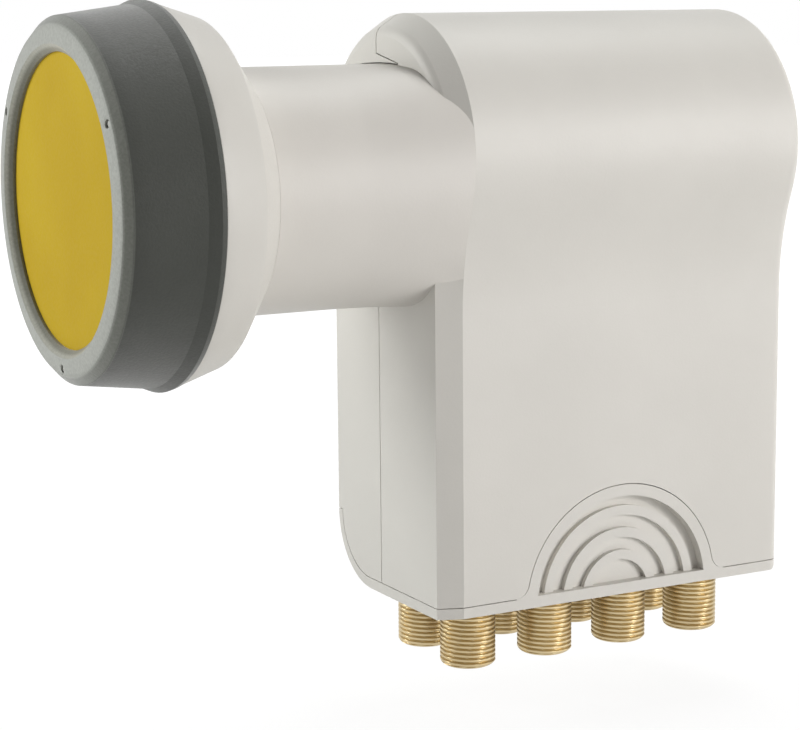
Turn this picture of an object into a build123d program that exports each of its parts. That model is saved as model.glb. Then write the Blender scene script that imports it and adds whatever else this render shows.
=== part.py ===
"""Octo satellite LNB: feed cap, clamp neck, two-shell housing and a sliding weather cover.

Millimetres. X runs along the feed axis, from the yellow window at -X to the back of the
housing at +X. Z is up. The origin is on the feed axis, midway along the clamp barrel.
"""
from build123d import *
import math
import os

# Clamp barrel and the collar in front of it
NECK_R = 20.0
CLAMP_LENGTH = 16.7
NECK_WALL = 2.0
COLLAR_BEVEL = 5.9
COLLAR_BAND = 7.6
COLLAR_STEP = 8.2
COLLAR_TAPER = 2.4
COLLAR_WALL = 2.4
COLLAR_LIP = 0.3
FLARE_LEAD = 12.0
FLARE_SHOULDER = 6.2
FLARE_FOOT = 3.0
FLANGE_STEP = 2.0
FLANGE_T = 2.2

# Cap ring with the window that it traps
CAP_LENGTH = 15.4
CAP_LIP_X = 0.85
CAP_LIP_LENGTH = 2.7
CAP_LIP_H = 0.8
CAP_TAPER = 1.45
CAP_WALL = 2.6
CAP_BEVEL_X = 1.3
CAP_BEVEL_R = 1.45
CAP_FACE_X = 0.4
CAP_FACE_R = 2.9
WINDOW_STEP = 3.1
WINDOW_SET = 1.6
WINDOW_T = 1.5
WINDOW_LAP = 2.0
WINDOW_EDGE = 0.5
PIN_COUNT = 3
PIN_R = 0.45
PIN_ROOM = 0.25
PIN_LENGTH = 2.0
PIN_SINK = 0.1
PIN_INSET = 1.1
SPIGOT_WALL = 1.8

# Horn and waveguide of the casting
HORN_LENGTH = 18.0
HORN_WALL = 2.5
HORN_FLANGE_T = 3.0
HORN_FLANGE_W = 3.5
SEAL_SECTION_R = 0.8
SEAL_STAND = 0.3
WAVEGUIDE_WALL = 2.5
WAVEGUIDE_REACH = 30.0
GUIDE_RING_T = 3.0
GUIDE_RING_INSET = 2.0
ROD_R = 0.6
PROBE_R = 0.5
PROBE_TIP = 3.0
PROBE_BEND_R = 1.5
PROBE_SET = 1.4
PROBE_SPACING = 7.0
BEAD_R = 2.0

# Housing outline, seen along the feed axis, and its length
NECK_MARGIN = 3.2
ARCH_BULGE = 4.5
ARCH_LIFT = 5.0
WAIST_R = 50.0
HOUSING_LENGTH = 69.3
HOUSING_DROP = 68.9
SHELL_WALL = 2.4
FRONT_SLOPE = 4.2
ARCH_INSET = 2.6
ARCH_ROUND = 3.0
NEAR_INSET = 1.6
FAR_INSET = 0.45
BACK_ROUND = 2.0
SEAM_Y = 2.34
TONGUE_REACH = 5.2
TONGUE_RISE = 1.6
POST_R = 3.0
POST_GAP = 2.0
SCREW_R = 1.4
SCREW_HEAD_R = 2.5
SCREW_HEAD_T = 1.8
SCREW_GRIP = 5.0
SCREW_BITE = 8.0
PAD_R = 3.0

# Weather cover: rim, sleeve and thumb grip
RIM_HEIGHT = 1.8
FAR_CORNER_R = 12.0
SLEEVE_WALL = 1.5
COVER_TRAVEL = 19.0
GUIDE_OVERLAP = 7.0
GRIP_R = 19.2
GRIP_SHIFT = 1.1
GRIP_FOOT_R = 2.6
GRIP_BORDER = 2.0
GRIP_DEPTH = 1.9
RIB_COUNT = 3
RIB_INSET = 1.85
RIB_PITCH = 3.9
RIB_WIDTH = 1.7
RIB_SINK = 1.0

# Casting box, boards and lids
BOX_WALL = 2.2
BOX_FLOOR = 3.5
BOX_RAISE = 4.5
PARTITION = 2.5
BOARD_T = 1.6
BOARD_MARGIN = 1.2
BOSS_R = 2.2
BOSS_INSET = 4.0
LID_T = 0.8
GASKET_T = 0.6
LID_SCREW_R = 1.0
LID_HEAD_R = 1.9
LID_HEAD_T = 1.0
LID_SCREW_BITE = 4.0
CHIP_COUNT = 4
CHIP_SIZE = 5.0
CHIP_T = 1.1
CRYSTAL_LENGTH = 10.0
CRYSTAL_WIDTH = 4.5
CRYSTAL_T = 3.5

# Coaxial ports on the floor of the casting
PORT_COLUMNS = 4
PORT_END = 6.1
PORT_EDGE = 0.6
PORT_R = 4.7625
PORT_REACH = 11.4
PORT_BORE_R = 3.4
PORT_FLANGE_R = 5.3
PORT_FLANGE_T = 1.4
PORT_SHANK_R = 4.3
PORT_SHANK_STAND = 1.0
PORT_CHAMFER = 0.5
WASHER_T = 0.8
INSULATOR_SET = 1.2
INSULATOR_LENGTH = 7.0
CONTACT_R = 0.4
CONTACT_SOCKET_R = 1.0
CONTACT_SET = 0.4
CONTACT_RISE = 8.0

# Clearances
FIT = 0.15
SEAM_GAP = 0.2
RIM_GAP = 0.15
SLIDE_GAP = 0.4
INNER_GAP = 1.0
TOUCH = 0.05

# Places along the feed axis
flare_x = CLAMP_LENGTH / 2
front_x = flare_x + FLARE_LEAD
back_x = front_x + HOUSING_LENGTH
foot_x = -CLAMP_LENGTH / 2
crease_x = foot_x - COLLAR_BEVEL
cap_rear_x = crease_x - COLLAR_BAND
ridge_x = cap_rear_x - CAP_LENGTH
window_x = ridge_x + WINDOW_SET
window_back_x = window_x + WINDOW_T
mouth_x = window_back_x + SEAL_STAND
throat_x = mouth_x + HORN_LENGTH
short_x = front_x + WAVEGUIDE_REACH

# Outline of the housing and heights below the feed axis
arch_r = NECK_R + NECK_MARGIN
half_width = arch_r - ARCH_BULGE
shell_z = -HOUSING_DROP
rim_top_z = shell_z - RIM_GAP
rim_z = rim_top_z - RIM_HEIGHT
corner_y = half_width - FAR_CORNER_R
corner_z = rim_z + FAR_CORNER_R
ledge = SHELL_WALL + SLIDE_GAP
sleeve_top_z = shell_z + COVER_TRAVEL + GUIDE_OVERLAP
port_z = rim_z - PORT_REACH

# Casting box inside the sleeve, its ports and boards
box_inset = ledge + SLEEVE_WALL + INNER_GAP
box_x0 = front_x + box_inset
box_x1 = back_x - box_inset
box_half = half_width - box_inset
floor_z = rim_z + BOX_RAISE
floor_top_z = floor_z + BOX_FLOOR
shank_top_z = floor_top_z + PORT_SHANK_STAND
row_y = box_half - PORT_EDGE - PORT_FLANGE_R
port_pitch = (box_x1 - box_x0 - 2 * PORT_END) / (PORT_COLUMNS - 1)
port_xs = [box_x0 + PORT_END + i * port_pitch for i in range(PORT_COLUMNS)]
board_face = row_y - CONTACT_R - TOUCH
board_back = board_face - BOARD_T
lid_face = box_half
lid_back = lid_face - LID_T
tray_edge = lid_back - GASKET_T

# Waveguide above the box, the posts beside it and the web between them
probe_y = -board_face - TOUCH - PROBE_R
waveguide_r = PROBE_SET - probe_y
guide_r = waveguide_r + WAVEGUIDE_WALL
post_z = guide_r + POST_R + POST_GAP
box_top_z = -post_z - POST_R - POST_GAP
post_x0 = front_x + SHELL_WALL + FLANGE_T + POST_GAP + POST_R
post_x1 = back_x - SHELL_WALL - POST_GAP - POST_R
web_x0 = post_x0 + POST_R + POST_GAP
web_x1 = short_x + WAVEGUIDE_WALL
web_half = row_y + BEAD_R + BOX_WALL / 2
probe_v_x = web_x0 + BEAD_R + BOX_WALL
probe_h_x = probe_v_x + PROBE_SPACING
pad_z = (box_top_z + sleeve_top_z) / 2

# Radii of the feed
window_r = NECK_R + WINDOW_STEP
ridge_r = window_r + WINDOW_SET - WINDOW_EDGE + 2 * TOUCH
face_r = ridge_r + CAP_FACE_R
cone_front_r = face_r + CAP_BEVEL_R
cone_rear_r = cone_front_r + CAP_TAPER
cap_r = cone_rear_r + CAP_LIP_H
cap_bore_r = cone_front_r - CAP_WALL
window_rim_r = window_r + WINDOW_LAP
spigot_r = cap_bore_r - FIT
spigot_bore_r = spigot_r - SPIGOT_WALL
collar_r = NECK_R + COLLAR_STEP
neck_bore_r = NECK_R - NECK_WALL
horn_flange_r = spigot_bore_r - FIT
mouth_r = horn_flange_r - HORN_FLANGE_W
SIDES = {"near": -1, "far": 1}


def block(x0, x1, y0, y1, z0, z1):
    """Box between two corners."""
    centre = Pos((x0 + x1) / 2, (y0 + y1) / 2, (z0 + z1) / 2)
    return centre * Box(abs(x1 - x0), abs(y1 - y0), abs(z1 - z0))


def rod_x(radius, x0, x1, y=0.0, z=0.0):
    """Cylinder along X."""
    return Pos((x0 + x1) / 2, y, z) * Rot(0, 90, 0) * Cylinder(radius, abs(x1 - x0))


def rod_y(radius, y0, y1, x, z):
    """Cylinder along Y."""
    return Pos(x, (y0 + y1) / 2, z) * Rot(90, 0, 0) * Cylinder(radius, abs(y1 - y0))


def rod_z(radius, z0, z1, x, y):
    """Cylinder along Z."""
    return Pos(x, y, (z0 + z1) / 2) * Cylinder(radius, abs(z1 - z0))


def turned(points):
    """Solid turned about the feed axis from (x, radius) points."""
    return revolve(make_face(Polyline(*points, close=True)), Axis.X)


def waist(side, arch, half, waist_r):
    """Foot of the arch, middle and end of the concave sweep on one side, as (y, z)."""
    angle = math.acos((half + waist_r) / (arch + waist_r))
    centre_z = ARCH_LIFT - (arch + waist_r) * math.sin(angle)
    foot = (side * arch * math.cos(angle), ARCH_LIFT - arch * math.sin(angle))
    middle = (
        side * (half + waist_r - waist_r * math.cos(angle / 2)),
        centre_z + waist_r * math.sin(angle / 2),
    )
    return foot, middle, (side * half, centre_z)


def keyhole(arch, near_half, far_half, waist_r, bottom_z, corner_r=0.0):
    """Outline across the feed axis: arch, waists, straight sides, optional round far corner."""
    near_foot, near_middle, near_end = waist(-1, arch, near_half, waist_r)
    far_foot, far_middle, far_end = waist(1, arch, far_half, waist_r)
    lines = [
        ThreePointArc(near_foot, (0, ARCH_LIFT + arch), far_foot),
        ThreePointArc(far_foot, far_middle, far_end),
        ThreePointArc(near_end, near_middle, near_foot),
    ]
    near_corner = (-near_half, bottom_z)
    if corner_r:
        high = (far_half, bottom_z + corner_r)
        low = (far_half - corner_r, bottom_z)
        bend = corner_r * (1 - math.sqrt(0.5))
        lines.append(Line(far_end, high))
        lines.append(ThreePointArc(high, (far_half - bend, bottom_z + bend), low))
        lines.append(Line(low, near_corner))
    else:
        lines.append(Line(far_end, (far_half, bottom_z)))
        lines.append(Line((far_half, bottom_z), near_corner))
    lines.append(Line(near_corner, near_end))
    return make_face(lines)


def across(face, x):
    """Outline placed at a station on the feed axis."""
    return Plane.YZ.offset(x) * face


def station(depth):
    """Outline of the housing at a depth behind its front plane, on the sloped edge."""
    left = 1 - depth / FRONT_SLOPE
    outline = keyhole(
        arch_r - ARCH_INSET * left, half_width - NEAR_INSET * left, half_width - FAR_INSET * left,
        WAIST_R, rim_z, FAR_CORNER_R,
    )
    return across(outline, front_x + depth)


def make_dome():
    """Front of the arch, turned about the arch's middle, with the slope rounded into the flat."""
    slope_x = front_x + FRONT_SLOPE
    corner_r = arch_r - ARCH_INSET
    length = math.hypot(FRONT_SLOPE, ARCH_INSET)
    half_turn = math.atan2(FRONT_SLOPE, ARCH_INSET) / 2
    run = ARCH_ROUND * math.tan(half_turn)
    sag = ARCH_ROUND / math.cos(half_turn) - ARCH_ROUND
    flat = (front_x, corner_r - run)
    bend = (front_x + sag * math.sin(half_turn), corner_r - sag * math.cos(half_turn))
    start = (front_x + run * FRONT_SLOPE / length, corner_r + run * ARCH_INSET / length)
    lines = [
        Polyline(start, (slope_x, arch_r), (slope_x, 0), (front_x, 0), flat),
        ThreePointArc(flat, bend, start),
    ]
    return Pos(0, 0, ARCH_LIFT) * revolve(Plane.XZ * make_face(lines), Axis.X)


def make_envelope():
    """Outer form of the housing and rim together: sloped edge in front, round edge at the back."""
    end = station(FRONT_SLOPE)
    nose = loft([station(0), end], ruled=True)
    upper = block(front_x, front_x + FRONT_SLOPE, -arch_r, arch_r, 0, ARCH_LIFT + arch_r)
    nose = (nose - upper) + (nose & upper & make_dome())
    barrel = extrude(end, HOUSING_LENGTH - FRONT_SLOPE)
    barrel = fillet(barrel.faces().sort_by(Axis.X)[-1].edges(), BACK_ROUND)
    return nose + barrel


def above_rim(gap):
    """Space above the rim, down to its top and round the inside of the far corner."""
    inner_r = FAR_CORNER_R - RIM_HEIGHT - gap
    x0 = front_x - FIT
    x1 = back_x + FIT
    reach = 2 * arch_r
    space = block(x0, x1, -reach, reach, corner_z + gap, reach)
    space += block(x0, x1, -reach, corner_y, corner_z - inner_r, corner_z + gap)
    return space + rod_x(inner_r, x0, x1, corner_y, corner_z)


def make_cavity(gap):
    """Space inside the shells, drawn in from their inner faces by a gap."""
    wall = SHELL_WALL + gap
    half = half_width - wall
    face = keyhole(arch_r - wall, half, half, WAIST_R + wall, 2 * rim_z)
    return extrude(across(face, front_x + wall), HOUSING_LENGTH - 2 * wall)


def on_circle(point, radius):
    """Point of a circle about the feed axis in the direction of another point."""
    share = radius / math.hypot(*point)
    return (share * point[0], share * point[1])


def flare_ends(gap):
    """Round start and wide rounded end of the flare, with edges that answer each other."""
    ring_r = NECK_R + gap
    top_r = ring_r - FLARE_SHOULDER
    low_r = ring_r - FLARE_FOOT
    half = arch_r + gap
    cut = 1 - math.sqrt(0.5)
    right = [(half - top_r, ring_r), (half, FLARE_SHOULDER), (half, -FLARE_FOOT), (half - low_r, -ring_r)]
    points = right + [(-y, z) for y, z in reversed(right)]
    top_y, top_z = half - cut * top_r, ring_r - cut * top_r
    low_y, low_z = half - cut * low_r, cut * low_r - ring_r
    bends = [(top_y, top_z), None, (low_y, low_z), None, (-low_y, low_z), None, (-top_y, top_z), None]
    wide, ring = [], []
    for here, bend, there in zip(points, bends, points[1:] + points[:1]):
        wide.append(ThreePointArc(here, bend, there) if bend else Line(here, there))
        middle = (here[0] + there[0], here[1] + there[1])
        ring.append(ThreePointArc(*(on_circle(point, ring_r) for point in (here, middle, there))))
    return make_face(ring), make_face(wide)


def make_flare(gap):
    """End of the neck, widening to a section that is flush with the sides of the housing."""
    ring, wide = flare_ends(gap)
    end = across(wide, front_x + FRONT_SLOPE + gap)
    return loft([across(ring, flare_x), end], ruled=True)


def grip_face(radius, foot_r, bottom_z):
    """Arch of the thumb grip in the XZ plane, centred on the rim's lower edge, with concave feet."""
    centre_x = front_x + HOUSING_LENGTH / 2 + GRIP_SHIFT
    base = shell_z - rim_z
    hollow_x = math.sqrt((radius + foot_r) ** 2 - (base + foot_r) ** 2)
    share = radius / (radius + foot_r)
    tip = (share * hollow_x, share * (base + foot_r))
    half_angle = math.atan2(hollow_x, base + foot_r) / 2
    bend = (hollow_x - foot_r * math.sin(half_angle), base + foot_r - foot_r * math.cos(half_angle))

    def at(side, x, z):
        return (centre_x + side * x, rim_z + z)

    low = bottom_z - rim_z
    lines = [
        ThreePointArc(at(-1, *tip), at(1, 0, radius), at(1, *tip)),
        ThreePointArc(at(1, *tip), at(1, *bend), at(1, hollow_x, base)),
        Polyline(at(1, hollow_x, base), at(1, hollow_x, low), at(-1, hollow_x, low), at(-1, hollow_x, base)),
        ThreePointArc(at(-1, hollow_x, base), at(-1, *bend), at(-1, *tip)),
    ]
    return make_face(lines), centre_x


def near_plate(face, y0, y1):
    """Plate with an outline in the XZ plane, between two depths."""
    return extrude(Plane.XZ.offset(-y0) * face, y0 - y1)


def make_screw(shank_r, head_r, head_t, length, x, z, seat_y, side):
    """Screw along Y with its head outside the seat."""
    head = rod_y(head_r, seat_y, seat_y + side * head_t, x, z)
    return head + rod_y(shank_r, seat_y, seat_y - side * length, x, z)


def make_shells():
    """Both halves of the housing, parted beside the middle, with posts and seats inside."""
    shell = make_envelope() & above_rim(RIM_GAP)
    shell -= make_cavity(0)
    outer = make_envelope()
    for x in (post_x0, post_x1):
        for z in (-post_z, post_z):
            shell += rod_y(POST_R, -arch_r, arch_r, x, z) & outer
    for x in (port_xs[0], port_xs[-1]):
        for side in SIDES.values():
            inner = side * (lid_face + TOUCH)
            shell += rod_y(PAD_R, inner, side * (half_width - SHELL_WALL / 2), x, pad_z)
    shell -= make_flare(0)
    cut, _ = grip_face(GRIP_R + FIT, GRIP_FOOT_R - FIT, rim_z)
    shell -= near_plate(cut, -half_width - FIT, -half_width + ledge)
    for x in (post_x0, post_x1):
        for z in (-post_z, post_z):
            seat_y = SEAM_Y + SCREW_GRIP
            shell -= rod_y(SCREW_R, SEAM_Y - SCREW_BITE, seat_y, x, z)
            shell -= rod_y(SCREW_HEAD_R + FIT, seat_y, 2 * arch_r, x, z)
    reach = 2 * HOUSING_DROP
    near_half = block(0, 2 * back_x, -reach, SEAM_Y - SEAM_GAP / 2, -reach, reach)
    far_half = block(0, 2 * back_x, SEAM_Y + SEAM_GAP / 2, reach, -reach, reach)
    near = (shell & near_half) - make_tongue(SEAM_GAP)
    far = (shell & (far_half + make_tongue(0))) - make_flare(SEAM_GAP)
    return {"housing_near": near, "housing_far": far}


def make_tongue(gap):
    """Wedge of the far shell that reaches over the top of the neck in the front wall."""
    root_y = SEAM_Y + SEAM_GAP
    low_z = NECK_R - SEAM_GAP
    wedge = Polyline(
        (root_y, NECK_R + TONGUE_RISE + gap), (-TONGUE_REACH, NECK_R + gap),
        (-TONGUE_REACH, low_z), (root_y, low_z), close=True,
    )
    return extrude(across(make_face(wedge), front_x), SHELL_WALL)


def make_housing_screws():
    """Four screws through the far shell's posts into the near shell's."""
    seat_y = SEAM_Y + SCREW_GRIP
    length = SCREW_GRIP + SCREW_BITE - FIT
    return [
        make_screw(SCREW_R - TOUCH, SCREW_HEAD_R, SCREW_HEAD_T, length, x, z, seat_y, 1)
        for x in (post_x0, post_x1)
        for z in (-post_z, post_z)
    ]


def make_cover():
    """Weather cover: rim under the shells, sleeve inside them and ribbed grip on the near side."""
    envelope = make_envelope()
    rim = envelope - above_rim(0)
    depth = half_width - ledge
    plan = make_face(Polyline(
        (front_x, -half_width + NEAR_INSET), (front_x + FRONT_SLOPE, -half_width),
        (back_x, -half_width), (back_x, half_width), (front_x, half_width), close=True,
    ))
    outer = offset(plan, -ledge, kind=Kind.INTERSECTION)
    inner = offset(plan, -ledge - SLEEVE_WALL, kind=Kind.INTERSECTION)
    height = sleeve_top_z - rim_z
    tube = extrude(Pos(0, 0, rim_z) * outer, height) & envelope
    hollow = extrude(Pos(0, 0, rim_z - FIT) * inner, height + 2 * FIT)
    plate, centre_x = grip_face(GRIP_R, GRIP_FOOT_R, rim_top_z)
    grip = near_plate(plate, -half_width, -depth)
    cover = rim + tube + grip - hollow
    return cover - grip_recess(centre_x)


def grip_recess(centre_x):
    """Hollow of the grip, with raised half rings left standing in it."""
    outer_y = -half_width - FIT
    floor_y = -half_width + GRIP_DEPTH
    rib_y = -half_width + RIB_SINK
    recess_r = GRIP_R - GRIP_BORDER
    recess = rod_y(recess_r, outer_y, floor_y, centre_x, rim_z)
    for i in range(RIB_COUNT):
        rib_r = recess_r - RIB_INSET - RIB_PITCH * i
        ring = rod_y(rib_r, rib_y, floor_y, centre_x, rim_z)
        ring -= rod_y(rib_r - RIB_WIDTH, rib_y, floor_y, centre_x, rim_z)
        recess -= ring
    reach = 2 * GRIP_R
    upper = block(centre_x - reach, centre_x + reach, outer_y, floor_y, shell_z, shell_z + reach)
    return recess & upper


def make_collar():
    """Collar behind the cap: spigot for the cap, tapered band and rear slope, pushed on the neck."""
    return turned([
        (window_back_x, spigot_r), (cap_rear_x, spigot_r),
        (cap_rear_x, collar_r + COLLAR_TAPER), (crease_x, collar_r),
        (foot_x, NECK_R + COLLAR_LIP), (foot_x, NECK_R + TOUCH), (crease_x, NECK_R + TOUCH),
        (crease_x, neck_bore_r), (crease_x - COLLAR_WALL, neck_bore_r),
        (cap_rear_x + COLLAR_WALL, spigot_bore_r), (window_back_x, spigot_bore_r),
    ])


def make_neck():
    """Clamp barrel between the collar and the flare."""
    return rod_x(NECK_R, crease_x + TOUCH, flare_x) - rod_x(neck_bore_r, crease_x, flare_x + FIT)


def make_neck_root():
    """Flared end of the neck, flush with the sides, with a flange behind the front of the shells."""
    flange_x = front_x + SHELL_WALL + FIT
    end_x = flange_x + FLANGE_T
    sides = extrude(station(FRONT_SLOPE), FRONT_SLOPE + FLARE_LEAD, dir=(-1, 0, 0))
    root = make_flare(0) & sides
    root += rod_x(NECK_R + FLANGE_STEP, flange_x, end_x) & make_cavity(FIT)
    return root - rod_x(neck_bore_r, flare_x - FIT, end_x + FIT)


def cap_pin_places():
    """Axes of the pins in the cap's front face, as (y, z)."""
    circle_r = face_r - PIN_INSET
    turns = [math.radians(90 + 180 + 360 * i / PIN_COUNT) for i in range(PIN_COUNT)]
    return [(circle_r * math.cos(t), circle_r * math.sin(t)) for t in turns]


def make_cap():
    """Ring over the front of the collar: cone, rear lip, bevelled face and lip over the window."""
    face_x = ridge_x + CAP_FACE_X
    cone_x = face_x + CAP_BEVEL_X
    crease = cap_rear_x - CAP_LIP_LENGTH
    ring = turned([
        (window_x, window_r), (window_x - WINDOW_EDGE, window_r), (ridge_x, ridge_r),
        (face_x, face_r), (cone_x, cone_front_r), (crease, cone_rear_r),
        (cap_rear_x - CAP_LIP_X, cap_r), (cap_rear_x, cap_r - CAP_LIP_H / 4),
        (cap_rear_x, cap_bore_r), (window_back_x, cap_bore_r),
        (window_back_x, window_rim_r + FIT), (window_x, window_rim_r + FIT),
    ])
    for y, z in cap_pin_places():
        ring -= rod_x(PIN_R + PIN_ROOM, ridge_x - FIT, ridge_x + CAP_FACE_X + PIN_SINK + PIN_LENGTH, y, z)
    return ring


def make_cap_pins():
    """Small pins sunk in the cap's face."""
    start_x = ridge_x + CAP_FACE_X + PIN_SINK
    return [rod_x(PIN_R, start_x, start_x + PIN_LENGTH, y, z) for y, z in cap_pin_places()]


def make_window():
    """Disc over the horn, trapped at its rim between the cap's lip and the collar."""
    return rod_x(window_rim_r, window_x, window_back_x)


def make_window_seal():
    """Ring of round section between the window and the horn's flange."""
    centre_r = (mouth_r + horn_flange_r) / 2
    centre_x = window_back_x + SEAL_SECTION_R
    return Pos(centre_x, 0, 0) * Rot(0, 90, 0) * Torus(centre_r, SEAL_SECTION_R)


def seal_groove():
    """Groove in the horn's flange for the window seal."""
    centre_r = (mouth_r + horn_flange_r) / 2
    depth_x = window_back_x + 2 * SEAL_SECTION_R + TOUCH
    half = SEAL_SECTION_R + TOUCH
    ring = rod_x(centre_r + half, mouth_x - FIT, depth_x)
    return ring - rod_x(centre_r - half, mouth_x - FIT, depth_x)


def make_horn():
    """Feed casting: horn, closed waveguide and the rings that centre it in the neck."""
    cast = turned([
        (mouth_x, mouth_r), (throat_x, waveguide_r), (short_x, waveguide_r), (short_x, 0),
        (web_x1, 0), (web_x1, guide_r), (throat_x, guide_r),
        (mouth_x + HORN_FLANGE_T, mouth_r + HORN_WALL),
        (mouth_x + HORN_FLANGE_T, horn_flange_r), (mouth_x, horn_flange_r),
    ])
    cast -= seal_groove()
    for x in (foot_x + GUIDE_RING_INSET, front_x - GUIDE_RING_INSET - GUIDE_RING_T):
        ring = rod_x(neck_bore_r - TOUCH, x, x + GUIDE_RING_T)
        cast += ring - rod_x(waveguide_r + WAVEGUIDE_WALL / 2, x, x + GUIDE_RING_T)
    return cut_probe_holes(cast) - rod_y(ROD_R, -guide_r, guide_r, (probe_v_x + probe_h_x) / 2, 0)


def cut_probe_holes(cast):
    """Holes for the two probes' sleeves, from the box up into the waveguide."""
    low_z = box_top_z - BOX_WALL - FIT
    return cast - rod_z(BEAD_R, low_z, 0, probe_v_x, 0) - rod_z(BEAD_R, low_z, 0, probe_h_x, probe_y)


def make_chassis():
    """Box casting that carries the ports and boards, with a cradle on top for the waveguide."""
    cradle = block(web_x0, web_x1, -web_half, web_half, box_top_z, 0)
    cradle -= rod_x(guide_r + TOUCH, web_x0 - FIT, web_x1 + FIT)
    return cut_probe_holes(make_box() + cradle)


def make_box():
    """Box of the casting, open to both sides of a middle wall."""
    box = block(box_x0, box_x1, -tray_edge, tray_edge, floor_z, box_top_z)
    for side in SIDES.values():
        box -= block(
            box_x0 + BOX_WALL, box_x1 - BOX_WALL, side * PARTITION / 2, side * (tray_edge + FIT),
            floor_top_z, box_top_z - BOX_WALL,
        )
        for x, z in boss_places():
            box += rod_y(BOSS_R, side * PARTITION / 2, side * board_back, x, z)
        for x, z in lid_screw_places():
            box += rod_y(BOSS_R, 0, side * tray_edge, x, z)
            box -= rod_y(LID_SCREW_R, side * (tray_edge - LID_SCREW_BITE), side * tray_edge, x, z)
    for x in port_xs:
        for side in SIDES.values():
            box -= rod_z(PORT_SHANK_R, floor_z - FIT, shank_top_z + FIT, x, side * row_y)
    return box


def boss_places():
    """Board supports, as (x, z)."""
    low_x = box_x0 + BOX_WALL + BOARD_MARGIN + BOSS_INSET
    high_x = box_x1 - BOX_WALL - BOARD_MARGIN - BOSS_INSET
    low_z = shank_top_z + BOARD_MARGIN + BOSS_INSET
    high_z = box_top_z - BOX_WALL - BOARD_MARGIN - 2 * BOSS_R - BOSS_INSET
    return [(x, z) for x in (low_x, high_x) for z in (low_z, high_z)]


def lid_screw_places():
    """Lid screws in the upper corners and the middle of the box, as (x, z)."""
    z = box_top_z - BOX_WALL
    middle = (box_x0 + box_x1) / 2
    return [(box_x0 + BOSS_R, z), (middle, z), (box_x1 - BOSS_R, z)]


def make_board(side):
    """Circuit board on the supports of one tray, clear of the screw bosses."""
    board = block(
        box_x0 + BOX_WALL + BOARD_MARGIN, box_x1 - BOX_WALL - BOARD_MARGIN,
        side * board_back, side * board_face,
        shank_top_z + BOARD_MARGIN, box_top_z - BOX_WALL - BOARD_MARGIN - BOSS_R,
    )
    return board


def make_chips(side):
    """Row of amplifier and switch chips on the outer face of one board."""
    first, last = port_xs[0], port_xs[-1]
    step = (last - first) / CHIP_COUNT
    z = shank_top_z + CONTACT_RISE + CHIP_SIZE
    places = [first + step * (i + 0.5) for i in range(CHIP_COUNT)]
    y0, y1 = side * board_face, side * (board_face + CHIP_T)
    half = CHIP_SIZE / 2
    return [block(x - half, x + half, y0, y1, z - half, z + half) for x in places]


def make_crystal(side):
    """Crystal can of the local oscillator on one board."""
    middle = (box_x0 + box_x1) / 2
    z = box_top_z - BOX_WALL - BOARD_MARGIN - BOSS_R - BOSS_INSET - CRYSTAL_WIDTH
    return block(
        middle - CRYSTAL_LENGTH / 2, middle + CRYSTAL_LENGTH / 2,
        side * board_face, side * (board_face + CRYSTAL_T), z, z + CRYSTAL_WIDTH,
    )


def make_lid(side):
    """Sheet lid over one tray, with holes for its screws."""
    lid = block(box_x0, box_x1, side * lid_back, side * lid_face, floor_z, box_top_z)
    for x, z in lid_screw_places():
        lid -= rod_y(LID_SCREW_R, side * (lid_back - FIT), side * (lid_face + FIT), x, z)
        lid -= rod_y(LID_HEAD_R + FIT, side * lid_face, side * (lid_face - LID_T / 2), x, z)
    return lid


def make_gasket(side):
    """Rubber frame between the tray's edge and its lid."""
    frame = block(box_x0, box_x1, side * tray_edge, side * lid_back, floor_z, box_top_z)
    frame -= block(
        box_x0 + BOX_WALL, box_x1 - BOX_WALL, side * tray_edge, side * lid_back,
        floor_top_z, box_top_z - BOX_WALL - BOSS_R,
    )
    for x, z in lid_screw_places():
        frame -= rod_y(LID_SCREW_R, side * (tray_edge - FIT), side * (lid_back + FIT), x, z)
    return frame


def make_lid_screws():
    """Low screws that hold both lids, their heads half sunk in the sheet."""
    screws = []
    length = LID_T / 2 + GASKET_T + LID_SCREW_BITE - FIT
    for side in SIDES.values():
        seat = side * (lid_face - LID_T / 2)
        for x, z in lid_screw_places():
            radius = LID_SCREW_R - TOUCH
            screws.append(make_screw(radius, LID_HEAD_R, LID_HEAD_T, length, x, z, seat, side))
    return screws


def make_probe_v():
    """Straight probe for one polarisation, up through the waveguide's floor."""
    return rod_z(PROBE_R, box_top_z - BOX_WALL, -PROBE_TIP, probe_v_x, 0)


def make_probe_h():
    """Bent probe for the other polarisation, from the near board to the waveguide's middle."""
    low_z = box_top_z - BOX_WALL - BOARD_MARGIN - BOSS_R - BOSS_INSET
    route = FilletPolyline((probe_y, low_z), (probe_y, 0), (-PROBE_TIP, 0), radius=PROBE_BEND_R)
    route = across(route, probe_h_x)
    start = Plane(origin=route @ 0, z_dir=route % 0)
    return sweep(start * Circle(PROBE_R), path=route)


def make_bead(x, y):
    """Insulating sleeve round a probe, in the web under the waveguide."""
    wall_z = -math.sqrt(waveguide_r ** 2 - y ** 2) - BEAD_R / 2
    sleeve = rod_z(BEAD_R - TOUCH, box_top_z - BOX_WALL, wall_z, x, y)
    return sleeve - rod_z(PROBE_R + TOUCH, box_top_z - BOX_WALL, wall_z, x, y)


def make_isolation_rod():
    """Thin rod across the waveguide between the two probes."""
    return rod_y(ROD_R - TOUCH, -guide_r, guide_r, (probe_v_x + probe_h_x) / 2, 0)


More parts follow.
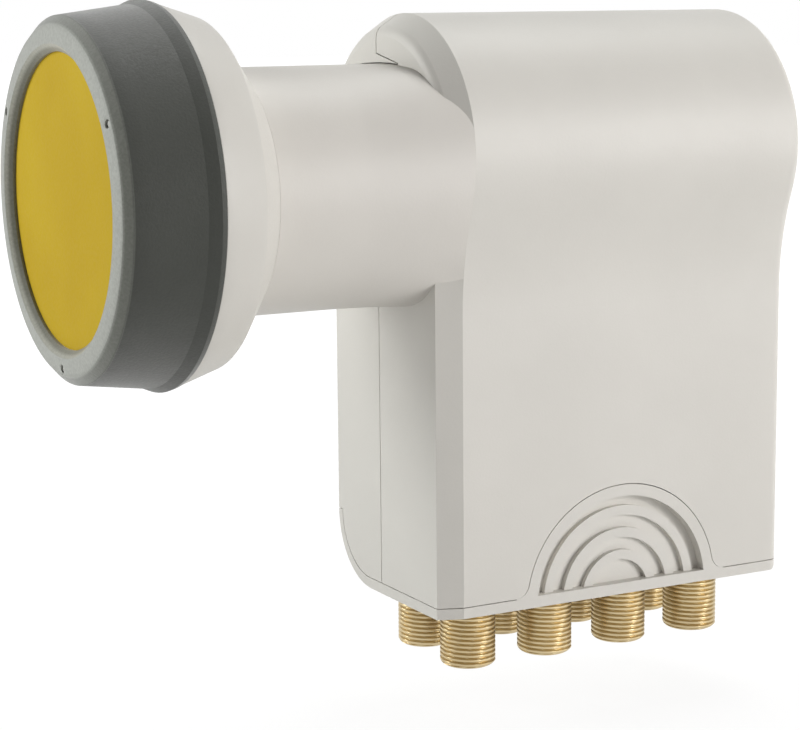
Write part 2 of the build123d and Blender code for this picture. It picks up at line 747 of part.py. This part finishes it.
def make_port_body(x, y):
    """Turned coaxial socket: shank in the floor, flange under it and the thread's full diameter."""
    seat_z = floor_z - WASHER_T
    body = rod_z(PORT_SHANK_R - TOUCH, seat_z, shank_top_z, x, y)
    body += rod_z(PORT_FLANGE_R, seat_z - PORT_FLANGE_T, seat_z, x, y)
    barrel = rod_z(PORT_R, port_z, seat_z, x, y)
    barrel = chamfer(barrel.edges().group_by(Axis.Z)[0], PORT_CHAMFER)
    body += barrel
    mouth_z = port_z + INSULATOR_SET + INSULATOR_LENGTH
    body -= rod_z(PORT_BORE_R, port_z - FIT, mouth_z, x, y)
    return body - rod_z(CONTACT_SOCKET_R + TOUCH, mouth_z - FIT, 0, x, y)


def make_port_insulator(x, y):
    """Plastic plug in the socket's mouth, with a hole for the cable's wire."""
    low_z = port_z + INSULATOR_SET
    plug = rod_z(PORT_BORE_R - TOUCH, low_z, low_z + INSULATOR_LENGTH, x, y)
    plug -= rod_z(CONTACT_SOCKET_R + TOUCH, low_z + CONTACT_SET, low_z + INSULATOR_LENGTH, x, y)
    return plug - rod_z(CONTACT_R, low_z, low_z + INSULATOR_LENGTH, x, y)


def make_port_contact(x, y):
    """Spring contact in the insulator and its pin up to the board."""
    low_z = port_z + INSULATOR_SET + CONTACT_SET
    top_z = shank_top_z
    contact = rod_z(CONTACT_SOCKET_R, low_z, top_z, x, y)
    contact -= rod_z(CONTACT_R, low_z, low_z + INSULATOR_LENGTH / 2, x, y)
    return contact + rod_z(CONTACT_R, top_z, top_z + CONTACT_RISE, x, y)


def make_port_washers():
    """Sealing washers between the ports' flanges and the floor."""
    washers = []
    for x, y in port_places():
        ring = rod_z(PORT_FLANGE_R, floor_z - WASHER_T, floor_z, x, y)
        washers.append(ring - rod_z(PORT_SHANK_R + TOUCH, floor_z - WASHER_T, floor_z, x, y))
    return washers


def port_places():
    """Port axes, near row first, as (x, y)."""
    return [(x, side * row_y) for side in SIDES.values() for x in port_xs]


nodes = {
    "feed_window": make_window(),
    "cap_ring": make_cap(),
    "cap_pins": Compound(make_cap_pins()),
    "window_seal": make_window_seal(),
    "collar": make_collar(),
    "neck_tube": make_neck(),
    "neck_root": make_neck_root(),
    "feed_horn": make_horn(),
    "chassis": make_chassis(),
    "probe_vertical": make_probe_v(),
    "probe_horizontal": make_probe_h(),
    "bead_vertical": make_bead(probe_v_x, 0),
    "bead_horizontal": make_bead(probe_h_x, probe_y),
    "isolation_rod": make_isolation_rod(),
    "lid_screws": Compound(make_lid_screws()),
    "housing_screws": Compound(make_housing_screws()),
    "weather_cover": make_cover(),
    "port_washers": Compound(make_port_washers()),
}
nodes.update(make_shells())
for name, side in SIDES.items():
    nodes[f"{name}_board"] = make_board(side)
    nodes[f"{name}_chips"] = Compound(make_chips(side))
    nodes[f"{name}_crystal"] = make_crystal(side)
    nodes[f"{name}_lid"] = make_lid(side)
    nodes[f"{name}_gasket"] = make_gasket(side)
for number, (x, y) in enumerate(port_places(), start=1):
    nodes[f"port_body_{number}"] = make_port_body(x, y)
    nodes[f"port_insulator_{number}"] = make_port_insulator(x, y)
    nodes[f"port_contact_{number}"] = make_port_contact(x, y)

os.makedirs("parts", exist_ok=True)
for name, shape in nodes.items():
    export_step(shape, f"parts/{name}.step")
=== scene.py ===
"""Looks of a satellite LNB with a sliding weather cover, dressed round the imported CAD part."""
import math

import bpy
import numpy as np
from mathutils import Matrix, Vector


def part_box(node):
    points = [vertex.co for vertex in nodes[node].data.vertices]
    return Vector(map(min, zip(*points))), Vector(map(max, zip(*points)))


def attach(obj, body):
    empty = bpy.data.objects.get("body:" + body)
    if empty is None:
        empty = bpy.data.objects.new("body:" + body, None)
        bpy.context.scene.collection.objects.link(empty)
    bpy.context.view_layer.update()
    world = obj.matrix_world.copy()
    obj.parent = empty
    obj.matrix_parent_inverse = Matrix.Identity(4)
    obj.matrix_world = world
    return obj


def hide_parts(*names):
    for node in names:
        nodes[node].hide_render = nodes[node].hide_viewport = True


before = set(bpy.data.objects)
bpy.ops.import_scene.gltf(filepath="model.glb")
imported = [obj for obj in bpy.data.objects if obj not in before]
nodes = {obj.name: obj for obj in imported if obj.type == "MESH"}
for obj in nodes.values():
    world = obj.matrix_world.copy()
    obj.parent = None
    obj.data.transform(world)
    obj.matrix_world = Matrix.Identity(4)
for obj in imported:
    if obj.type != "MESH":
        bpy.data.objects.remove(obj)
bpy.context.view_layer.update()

# The castings: horn with its waveguide, and circuit box, both of die-cast aluminium, with rolled
# sheet lids screwed over the box's two trays. They carry everything else. Only the box's floor
# shows between the ports, and the near lid when the cover is down.


def linear(red, green, blue):
    """Colour as the eye reads it, 0 to 255, turned to the linear values of a shader."""
    share = np.array([red, green, blue]) / 255
    flat = np.where(share <= 0.04045, share / 12.92, ((share + 0.055) / 1.055) ** 2.4)
    return (*flat.tolist(), 1.0)


def new_finish(name, metallic=0.0):
    """Empty material with one Principled shader: its node tree and shader are returned with it."""
    finish = bpy.data.materials.new(name)
    finish.use_nodes = True
    shader = finish.node_tree.nodes["Principled BSDF"]
    shader.inputs["Metallic"].default_value = metallic
    return finish, finish.node_tree, shader


def new_group(name, inputs, outputs):
    """Shader node group with named float or colour sockets, and its two end nodes."""
    group = bpy.data.node_groups.new(name, "ShaderNodeTree")
    kinds = {"colour": "NodeSocketColor", "value": "NodeSocketFloat"}
    for label, kind in inputs:
        group.interface.new_socket(label, in_out="INPUT", socket_type=kinds[kind])
    for label, kind in outputs:
        group.interface.new_socket(label, in_out="OUTPUT", socket_type=kinds[kind])
    return group, group.nodes.new("NodeGroupInput"), group.nodes.new("NodeGroupOutput")


def noise_at(tree, scale, detail):
    """Noise over the piece's own Object coordinates. The scale is a number or a socket."""
    place = tree.nodes.new("ShaderNodeTexCoord")
    noise = tree.nodes.new("ShaderNodeTexNoise")
    noise.inputs["Detail"].default_value = detail
    tree.links.new(place.outputs["Object"], noise.inputs["Vector"])
    if isinstance(scale, (int, float)):
        noise.inputs["Scale"].default_value = scale
    else:
        tree.links.new(scale, noise.inputs["Scale"])
    return noise.outputs["Fac"]


def spread(tree, value, low, high):
    """Value of a noise, about 0.35 to 0.65, spread between two numbers or sockets."""
    node = tree.nodes.new("ShaderNodeMapRange")
    node.inputs["From Min"].default_value = 0.35
    node.inputs["From Max"].default_value = 0.65
    tree.links.new(value, node.inputs["Value"])
    for socket, end in (("To Min", low), ("To Max", high)):
        if isinstance(end, (int, float)):
            node.inputs[socket].default_value = end
        else:
            tree.links.new(end, node.inputs[socket])
    return node.outputs["Result"]


def mixed(tree, share, first, second):
    """Colour between two colours, by a share."""
    node = tree.nodes.new("ShaderNodeMix")
    node.data_type = "RGBA"
    tree.links.new(share, node.inputs["Factor"])
    for socket, colour in ((node.inputs[6], first), (node.inputs[7], second)):
        if isinstance(colour, tuple):
            socket.default_value = colour
        else:
            tree.links.new(colour, socket)
    return node.outputs[2]


def skin_group():
    """Surface of a moulded or cast piece: slow mottling of the colour, fine grain in roughness and height."""
    mottles_per_metre = 45.0
    inputs = [
        ("Light", "colour"), ("Dark", "colour"),
        ("Grain", "value"), ("Smooth", "value"), ("Rough", "value"),
    ]
    outputs = [("Colour", "colour"), ("Roughness", "value"), ("Height", "value")]
    group, start, end = new_group("moulded_skin", inputs, outputs)
    slow = noise_at(group, mottles_per_metre, 4.0)
    fine = noise_at(group, start.outputs["Grain"], 2.0)
    share = spread(group, slow, 0.0, 1.0)
    colour = mixed(group, share, start.outputs["Dark"], start.outputs["Light"])
    group.links.new(colour, end.inputs["Colour"])
    rough = spread(group, fine, start.outputs["Smooth"], start.outputs["Rough"])
    group.links.new(rough, end.inputs["Roughness"])
    group.links.new(fine, end.inputs["Height"])
    return group


def skin_finish(name, light, dark, grain, rough, depth, metallic=0.0):
    """Material with the moulded skin: two near colours, grains per metre, range of roughness and
    height of the grain in metres."""
    finish, tree, shader = new_finish(name, metallic)
    skin = tree.nodes.new("ShaderNodeGroup")
    skin.node_tree = moulded_skin
    skin.inputs["Light"].default_value = light
    skin.inputs["Dark"].default_value = dark
    skin.inputs["Grain"].default_value = grain
    skin.inputs["Smooth"].default_value = rough[0]
    skin.inputs["Rough"].default_value = rough[1]
    bump = tree.nodes.new("ShaderNodeBump")
    bump.inputs["Strength"].default_value = 1.0
    bump.inputs["Distance"].default_value = depth
    tree.links.new(skin.outputs["Colour"], shader.inputs["Base Color"])
    tree.links.new(skin.outputs["Roughness"], shader.inputs["Roughness"])
    tree.links.new(skin.outputs["Height"], bump.inputs["Height"])
    tree.links.new(bump.outputs["Normal"], shader.inputs["Normal"])
    return finish, shader


def dress(finish, *names):
    """Gives CAD nodes a finish."""
    for name in names:
        nodes[name].data.materials.clear()
        nodes[name].data.materials.append(finish)


moulded_skin = skin_group()
cast_metal, _ = skin_finish(
    "cast_aluminium", linear(178, 180, 182), linear(160, 162, 165), 2600.0, (0.42, 0.58), 0.00004, 1.0
)
dress(cast_metal, "chassis", "feed_horn")
sheet_metal, _ = skin_finish(
    "lid_sheet", linear(196, 198, 200), linear(184, 186, 189), 900.0, (0.28, 0.42), 0.00001, 1.0
)
dress(sheet_metal, "near_lid", "far_lid")
plated_steel, _ = skin_finish(
    "plated_steel", linear(182, 182, 180), linear(160, 160, 160), 1500.0, (0.25, 0.4), 0.00001, 1.0
)
dress(plated_steel, "lid_screws", "housing_screws", "near_crystal", "far_crystal", "isolation_rod")
seal_rubber, _ = skin_finish(
    "seal_rubber", linear(46, 46, 46), linear(34, 34, 35), 3500.0, (0.6, 0.8), 0.00003
)
dress(seal_rubber, "near_gasket", "far_gasket", "window_seal", "port_washers")

# The circuit boards: green resist over copper, with black moulded chips, in the two trays.
# They are sealed in and show only when the head is taken apart.
board_resist, tree, shader = new_finish("board_resist")
tracks = tree.nodes.new("ShaderNodeTexBrick")
tracks.inputs["Scale"].default_value = 220.0
tracks.inputs["Color1"].default_value = linear(22, 92, 52)
tracks.inputs["Color2"].default_value = linear(18, 80, 46)
tracks.inputs["Mortar"].default_value = linear(58, 132, 78)
tracks.inputs["Mortar Size"].default_value = 0.06
board_place = tree.nodes.new("ShaderNodeTexCoord")
board_turn = tree.nodes.new("ShaderNodeMapping")
board_turn.inputs["Rotation"].default_value = (math.pi / 2, 0, 0)
tree.links.new(board_place.outputs["Object"], board_turn.inputs["Vector"])
tree.links.new(board_turn.outputs["Vector"], tracks.inputs["Vector"])
tree.links.new(tracks.outputs["Color"], shader.inputs["Base Color"])
shader.inputs["Roughness"].default_value = 0.35
dress(board_resist, "near_board", "far_board")
chip_resin, _ = skin_finish(
    "chip_resin", linear(40, 40, 42), linear(30, 30, 32), 4000.0, (0.45, 0.65), 0.00001
)
dress(chip_resin, "near_chips", "far_chips")

# The neck: clamp barrel and its flared end in pale satin plastic, held behind the front of the
# shells, and the collar pushed on it, which carries the cap in front.
SATIN_GRAIN = 2400.0
SATIN_ROUGH = (0.40, 0.52)
SATIN_DEPTH = 0.000012
NECK_LIGHT = linear(222, 218, 212)
NECK_DARK = linear(218, 214, 208)
neck_plastic, _ = skin_finish("neck_plastic", NECK_LIGHT, NECK_DARK, SATIN_GRAIN, SATIN_ROUGH, SATIN_DEPTH)
dress(neck_plastic, "neck_tube")
collar_plastic, _ = skin_finish(
    "collar_plastic", linear(213, 210, 204), linear(209, 206, 200), SATIN_GRAIN, SATIN_ROUGH, SATIN_DEPTH
)
dress(collar_plastic, "collar")


def soften(name, width, angle):
    """Takes the sharpness off a CAD node's edges that turn by more than an angle, after its loose triangles
    are joined. The width is the most that is taken: small faces beside an edge leave it narrower."""
    join_gap = 0.000002
    weld = nodes[name].modifiers.new("joined", "WELD")
    weld.merge_threshold = join_gap
    rounding = nodes[name].modifiers.new("soft_edges", "BEVEL")
    rounding.width = width
    rounding.segments = 3
    rounding.limit_method = "ANGLE"
    rounding.angle_limit = math.radians(angle)
    rounding.harden_normals = True


soften("collar", 0.0005, 15)


def blend_flare(finish):
    """Shading of the flare by its place round the feed axis, as on the barrel, so that it runs into the side
    of the housing unbroken. Surfaces that do not face outwards keep their own direction."""
    own_below, turned_above = 0.55, 0.75
    tree = finish.node_tree
    surface = tree.nodes.new("ShaderNodeNewGeometry")
    place = tree.nodes.new("ShaderNodeTexCoord")
    spoke = tree.nodes.new("ShaderNodeVectorMath")
    spoke.operation = "MULTIPLY"
    spoke.inputs[1].default_value = (0, 1, 1)
    tree.links.new(place.outputs["Object"], spoke.inputs[0])
    outward = tree.nodes.new("ShaderNodeVectorMath")
    outward.operation = "NORMALIZE"
    tree.links.new(spoke.outputs["Vector"], outward.inputs[0])
    facing = tree.nodes.new("ShaderNodeVectorMath")
    facing.operation = "DOT_PRODUCT"
    tree.links.new(outward.outputs["Vector"], facing.inputs[0])
    tree.links.new(surface.outputs["Normal"], facing.inputs[1])
    share = tree.nodes.new("ShaderNodeMapRange")
    share.inputs["From Min"].default_value = own_below
    share.inputs["From Max"].default_value = turned_above
    tree.links.new(facing.outputs["Value"], share.inputs["Value"])
    turned = tree.nodes.new("ShaderNodeMix")
    turned.data_type = "VECTOR"
    tree.links.new(share.outputs["Result"], turned.inputs["Factor"])
    tree.links.new(surface.outputs["Normal"], turned.inputs[4])
    tree.links.new(outward.outputs["Vector"], turned.inputs[5])
    unit = tree.nodes.new("ShaderNodeVectorMath")
    unit.operation = "NORMALIZE"
    tree.links.new(turned.outputs[1], unit.inputs[0])
    tree.links.new(unit.outputs["Vector"], tree.nodes["Bump"].inputs["Normal"])


root_plastic, _ = skin_finish("root_plastic", NECK_LIGHT, NECK_DARK, SATIN_GRAIN, SATIN_ROUGH, SATIN_DEPTH)
blend_flare(root_plastic)
dress(root_plastic, "neck_root")

# The feed window: a thin yellow disc, moulded in dull plastic that lets the waves through,
# trapped at its rim under the cap's lip.
window_plastic, shader = skin_finish(
    "window_plastic", linear(214, 182, 44), linear(207, 173, 38), 1800.0, (0.55, 0.7), 0.00001
)
shader.inputs["Specular IOR Level"].default_value = 0.08
dress(window_plastic, "feed_window")

# The cap ring: dark grey moulding with a fine grain, pushed over the front of the collar. Its bevelled face
# is painted in two lighter greys as a painted highlight for the light falling on the front, and three small
# pins are sunk in it.
cap_front_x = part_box("cap_ring")[0].x


def cap_finish():
    """Dark moulded skin whose colour turns to two lighter greys on the bevels towards the front: a painted
    highlight for the light that falls on the front faces.
    """
    finish, shader = skin_finish(
        "cap_plastic", linear(66, 68, 63), linear(59, 61, 56), 2600.0, (0.5, 0.66), 0.00003
    )
    tree = finish.node_tree
    place = tree.nodes.new("ShaderNodeTexCoord")
    parts = tree.nodes.new("ShaderNodeSeparateXYZ")
    tree.links.new(place.outputs["Object"], parts.inputs["Vector"])
    speckle = spread(tree, noise_at(tree, 2200.0, 2.0), 0.0, 1.0)
    colour = shader.inputs["Base Color"].links[0].from_socket
    soft = 0.0002
    # Painted light: the two lighter greys towards the front stand in for the light on the front bevels, not a
    # colour of the moulding.
    for depth, light, dark in (
        (0.0017, linear(126, 128, 120), linear(116, 118, 110)),
        (0.0005, linear(182, 184, 177), linear(168, 170, 163)),
    ):
        painted_light_front = tree.nodes.new("ShaderNodeMapRange")
        painted_light_front.inputs["From Min"].default_value = cap_front_x + depth + soft
        painted_light_front.inputs["From Max"].default_value = cap_front_x + depth - soft
        tree.links.new(parts.outputs["X"], painted_light_front.inputs["Value"])
        colour = mixed(tree, painted_light_front.outputs["Result"], colour, mixed(tree, speckle, dark, light))
    tree.links.new(colour, shader.inputs["Base Color"])
    shader.inputs["Specular IOR Level"].default_value = 0.3
    shader.inputs["Sheen Weight"].default_value = 0.55
    shader.inputs["Sheen Roughness"].default_value = 0.5
    return finish


dress(cap_finish(), "cap_ring")
soften("cap_ring", 0.0006, 15)
pin_steel, _ = skin_finish(
    "pin_steel", linear(206, 206, 200), linear(180, 180, 176), 3000.0, (0.3, 0.45), 0.00001, 0.4
)
dress(pin_steel, "cap_pins")

# The housing: two half shells in pale satin plastic, parted beside the middle and screwed
# together from the far side.
shell_plastic, _ = skin_finish(
    "shell_plastic", linear(224, 221, 215), linear(220, 217, 211), SATIN_GRAIN, SATIN_ROUGH, SATIN_DEPTH
)
dress(shell_plastic, "housing_near", "housing_far")

# The weather cover: rim, sleeve and ribbed thumb grip in the shells' own plastic, free to
# slide down over the ports.
dress(shell_plastic, "weather_cover")

# The ports: turned brass sockets plated with gold, each with a 3/8-32 thread, a white plug
# and a spring contact. They stand in two rows through the casting's floor.
THREAD_R = 0.0047625
THREAD_PITCH = 0.0254 / 32
THREAD_DEPTH = 0.0004
THREAD_RUNOUT = 1.2 * THREAD_PITCH
WAVE_STEEPNESS = 2.0
WAVE_DROP = 0.1
BARREL_ROWS = 190
PORT_SIDES = 72
STEM_R = 0.00425
STEM_HEIGHT = 0.0053
FLANGE_T = 0.0014
PORT_EDGE = 0.0002
NOSE_STEP = 0.0006
NOSE_INSET = 0.00075
MOUTH_R = 0.0034
MOUTH_DEPTH = 0.0082
WIRE_R = 0.00105
port_gold, _ = skin_finish(
    "port_gold", linear(209, 191, 152), linear(194, 175, 136), 1600.0, (0.34, 0.44), 0.000001, 1.0
)
plug_plastic, _ = skin_finish(
    "plug_plastic", linear(232, 231, 226), linear(224, 223, 218), 2000.0, (0.4, 0.55), 0.00001
)


def grid_mesh(name, points):
    """Mesh of a grid of points that closes on itself both ways. Quads join each point to its neighbours."""
    sharp_turn = math.radians(35)
    rows, columns = points.shape[:2]
    index = np.arange(rows * columns).reshape(rows, columns)
    right = np.roll(index, -1, axis=1)
    below = np.roll(index, -1, axis=0)
    corner = np.roll(right, -1, axis=0)
    quads = np.stack([index, below, corner, right], axis=-1).reshape(-1, 4)
    mesh = bpy.data.meshes.new(name)
    mesh.from_pydata(points.reshape(-1, 3).tolist(), [], quads.tolist())
    mesh.polygons.foreach_set("use_smooth", np.ones(len(quads), bool))
    mesh.set_sharp_from_angle(angle=sharp_turn)
    return mesh


def port_points(low, high):
    """Socket as a closed outline turned about its axis. On the barrel the radius also falls by a clipped
    triangle wave of height over pitch plus angle over a turn, which winds the thread."""
    axis_x = (low.x + high.x) / 2
    axis_y = (low.y + high.y) / 2
    flange_r = (high.x - low.x) / 2
    seat_z = high.z - STEM_HEIGHT
    under_z = seat_z - FLANGE_T
    mouth_z = low.z
    head = np.array([
        [WIRE_R, high.z], [STEM_R, high.z], [STEM_R, seat_z], [flange_r - PORT_EDGE, seat_z],
        [flange_r, seat_z - PORT_EDGE], [flange_r, under_z + PORT_EDGE], [flange_r - PORT_EDGE, under_z],
    ])
    heights = np.linspace(under_z, mouth_z + PORT_EDGE, BARREL_ROWS)
    barrel = np.stack([np.full(BARREL_ROWS, THREAD_R), heights], axis=1)
    mouth = np.array([
        [THREAD_R - NOSE_INSET, mouth_z], [MOUTH_R + PORT_EDGE, mouth_z], [MOUTH_R, mouth_z + PORT_EDGE],
        [MOUTH_R, mouth_z + MOUTH_DEPTH], [WIRE_R, mouth_z + MOUTH_DEPTH],
    ])
    outline = np.concatenate([head, barrel, mouth])
    row = np.arange(len(outline))[:, None]
    on_barrel = (row >= len(head)) & (row < len(head) + BARREL_ROWS)
    turn = np.linspace(0, 2 * np.pi, PORT_SIDES, endpoint=False)
    radius, height = outline[:, :1], outline[:, 1:]
    phase = (height / THREAD_PITCH + turn[None, :] / (2 * np.pi)) % 1.0
    wave = np.clip(WAVE_STEEPNESS * np.abs(2 * phase - 1) - WAVE_DROP, 0, 1)
    runout = np.clip((under_z - height) / THREAD_RUNOUT, 0, 1)
    threaded = radius - THREAD_DEPTH * (1 - wave) * runout
    tapered = np.minimum(threaded, THREAD_R - NOSE_STEP + (height - mouth_z))
    radius = np.where(on_barrel, tapered, radius)
    across = axis_x + radius * np.cos(turn)
    along = axis_y + radius * np.sin(turn)
    return np.stack([across, along, np.broadcast_to(height, radius.shape)], axis=-1)


for number in range(1, 9):
    low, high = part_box(f"port_body_{number}")
    socket_mesh = grid_mesh("port_socket", port_points(low, high))
    socket = bpy.data.objects.new(f"port_socket_{number}", socket_mesh)
    bpy.context.scene.collection.objects.link(socket)
    socket.data.materials.append(port_gold)
    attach(socket, "lnb")
    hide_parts(f"port_body_{number}")
    dress(port_gold, f"port_contact_{number}")
    dress(plug_plastic, f"port_insulator_{number}")
dress(port_gold, "probe_vertical", "probe_horizontal")
dress(plug_plastic, "bead_vertical", "bead_horizontal")

# The stage: pale floor under the lowered cover and three broad soft lamps, to the right of the
# camera, behind on the left and above, as in a product photograph.
FLOOR_Z = -0.0925
FLOOR_REACH = 4.0
SHADOW_NEAR, SHADOW_FAR = 0.12, 0.45
GLOW_NEAR, GLOW_FAR = 0.8, 1.0
GLOW_STRENGTH = 1.12
LAMP_AIM = (0.02, 0, -0.02)
LAMP_SIZE = 0.6
floor_mesh = bpy.data.meshes.new("floor")
floor_corners = [(x * FLOOR_REACH, y * FLOOR_REACH, FLOOR_Z) for x, y in ((-1, -1), (1, -1), (1, 1), (-1, 1))]
floor_mesh.from_pydata(floor_corners, [], [(0, 1, 2, 3)])
floor = bpy.data.objects.new("floor", floor_mesh)
bpy.context.scene.collection.objects.link(floor)
floor_paint, tree, shader = new_finish("floor_paint")
shader.inputs["Base Color"].default_value = (0.8, 0.8, 0.8, 1)
shader.inputs["Roughness"].default_value = 0.9
ray = tree.nodes.new("ShaderNodeLightPath")
seen = tree.nodes.new("ShaderNodeMath")
seen.operation = "MAXIMUM"
tree.links.new(ray.outputs["Is Camera Ray"], seen.inputs[0])
tree.links.new(ray.outputs["Is Glossy Ray"], seen.inputs[1])
floor_place = tree.nodes.new("ShaderNodeTexCoord")
reach = tree.nodes.new("ShaderNodeVectorMath")
reach.operation = "LENGTH"
tree.links.new(floor_place.outputs["Object"], reach.inputs[0])
share = tree.nodes.new("ShaderNodeMapRange")
share.inputs["From Min"].default_value = SHADOW_NEAR
share.inputs["From Max"].default_value = SHADOW_FAR
share.inputs["To Min"].default_value = GLOW_NEAR
share.inputs["To Max"].default_value = GLOW_FAR
tree.links.new(reach.outputs["Value"], share.inputs["Value"])
weight = tree.nodes.new("ShaderNodeMath")
weight.operation = "MULTIPLY"
tree.links.new(seen.outputs[0], weight.inputs[0])
tree.links.new(share.outputs["Result"], weight.inputs[1])
glow = tree.nodes.new("ShaderNodeEmission")
glow.inputs["Color"].default_value = (1, 1, 1, 1)
glow.inputs["Strength"].default_value = GLOW_STRENGTH
blend = tree.nodes.new("ShaderNodeMixShader")
tree.links.new(weight.outputs[0], blend.inputs["Fac"])
tree.links.new(shader.outputs["BSDF"], blend.inputs[1])
tree.links.new(glow.outputs["Emission"], blend.inputs[2])
tree.links.new(blend.outputs["Shader"], tree.nodes["Material Output"].inputs["Surface"])
floor_mesh.materials.append(floor_paint)

world = bpy.data.worlds.new("studio")
world.use_nodes = True
bpy.context.scene.world = world
sky = world.node_tree.nodes["Background"]
sky.inputs["Strength"].default_value = 1.0
ray = world.node_tree.nodes.new("ShaderNodeLightPath")
direct = world.node_tree.nodes.new("ShaderNodeMath")
direct.operation = "MAXIMUM"
world.node_tree.links.new(ray.outputs["Is Camera Ray"], direct.inputs[0])
world.node_tree.links.new(ray.outputs["Is Transmission Ray"], direct.inputs[1])
seen = world.node_tree.nodes.new("ShaderNodeMath")
seen.operation = "MAXIMUM"
world.node_tree.links.new(direct.outputs[0], seen.inputs[0])
world.node_tree.links.new(ray.outputs["Is Glossy Ray"], seen.inputs[1])
tone = world.node_tree.nodes.new("ShaderNodeMix")
tone.data_type = "RGBA"
tone.inputs[6].default_value = (0.04, 0.04, 0.04, 1)
tone.inputs[7].default_value = (1, 1, 1, 1)
world.node_tree.links.new(seen.outputs[0], tone.inputs["Factor"])
world.node_tree.links.new(tone.outputs[2], sky.inputs["Color"])


def lamp(name, place, power, colour):
    """Square area lamp at a place, turned to face the part."""
    light = bpy.data.lights.new(name, "AREA")
    light.color = colour
    light.size = LAMP_SIZE
    light.energy = power
    obj = bpy.data.objects.new(name, light)
    obj.location = place
    obj.rotation_euler = (Vector(LAMP_AIM) - Vector(place)).to_track_quat("-Z", "Y").to_euler()
    bpy.context.scene.collection.objects.link(obj)


lamp("right", (0.70, -0.87, 0.2), 8.6, (1.0, 0.985, 0.97))
lamp("left", (-0.85, 0.6, 0.3), 7.9, (0.985, 1.0, 0.98))
lamp("top", (0.4, 0.2, 1.03), 5.4, (0.985, 1.0, 0.98))

# The camera: at the photograph's own place, with its slight roll and its lens. The focal length
# is in pixels of the picture's width.
PHOTO_WIDTH = 800
PHOTO_FOCAL = 2211.5
SENSOR_WIDTH = 36.0
CAMERA_PLACE = (-0.152994, -0.325271, 0.030505)
azimuth, elevation, roll = math.radians(-28.425), math.radians(9.399), math.radians(-0.52)
back = Vector((
    math.sin(azimuth) * math.cos(elevation), -math.cos(azimuth) * math.cos(elevation), math.sin(elevation)
))
side = Vector((math.cos(azimuth), math.sin(azimuth), 0))
up = back.cross(side)
right = side * math.cos(roll) + up * math.sin(roll)
up = up * math.cos(roll) - side * math.sin(roll)
camera = bpy.data.objects.new("camera", bpy.data.cameras.new("camera"))
camera.data.sensor_width = SENSOR_WIDTH
camera.data.lens = SENSOR_WIDTH * PHOTO_FOCAL / PHOTO_WIDTH
camera.data.clip_start = 0.01
camera_turn = Matrix((right, up, back)).transposed().to_4x4()
camera.matrix_world = Matrix.Translation(CAMERA_PLACE) @ camera_turn
bpy.context.scene.collection.objects.link(camera)
bpy.context.scene.camera = camera
bpy.context.scene.view_settings.view_transform = "Standard"
